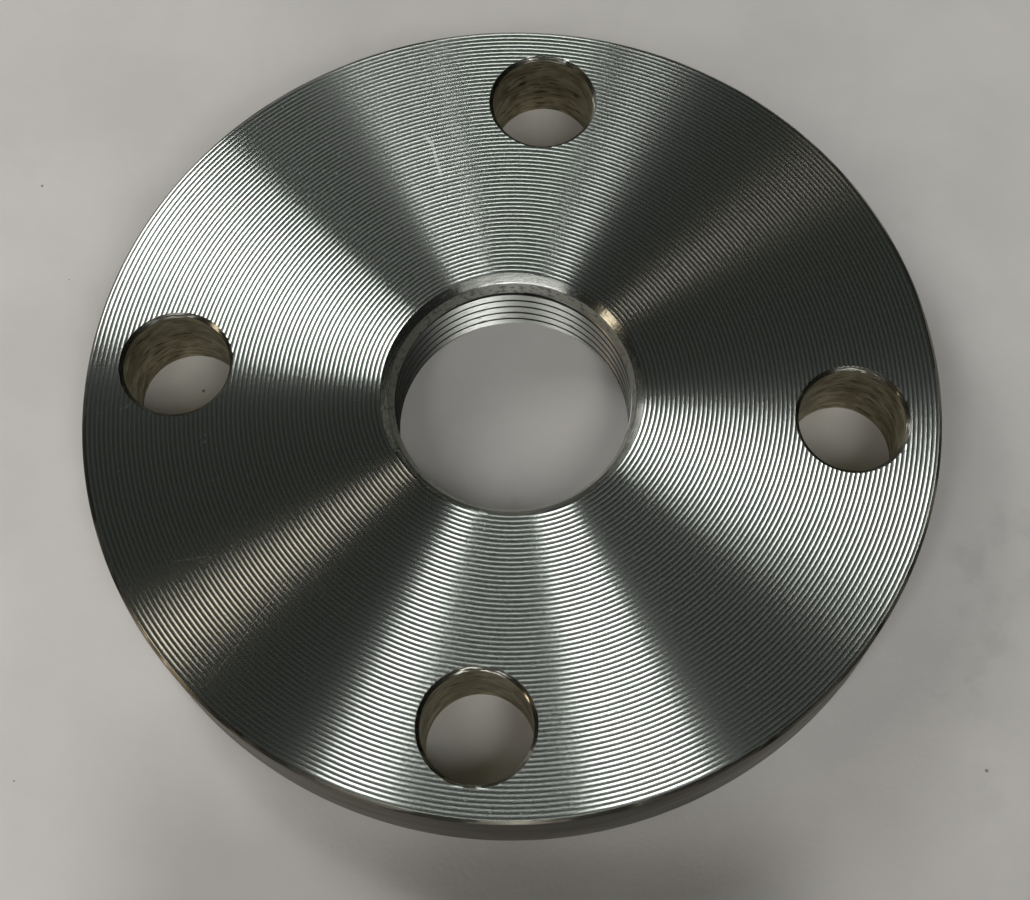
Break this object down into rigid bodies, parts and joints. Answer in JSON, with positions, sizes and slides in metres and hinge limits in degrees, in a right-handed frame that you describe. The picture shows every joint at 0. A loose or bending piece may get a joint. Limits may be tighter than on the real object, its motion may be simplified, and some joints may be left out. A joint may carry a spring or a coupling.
{
  "type": "pipe flange",
  "caption": "Round steel plate flange with a threaded central bore, bolt holes near the rim and a grooved gasket face.",
  "frame": {"origin": "centre of the back face, on the bore's axis", "axes": "+Z along the bore, out of the grooved gasket face; +X through the centre of a bolt hole"},
  "size_m": [0.14, 0.14, 0.016],
  "materials": {
    "turned_steel": "turned, with fine spiral facing marks"
  },
  "bodies": {
    "root": {"flange_plate": "turned_steel"}
  },
  "joints": []
}
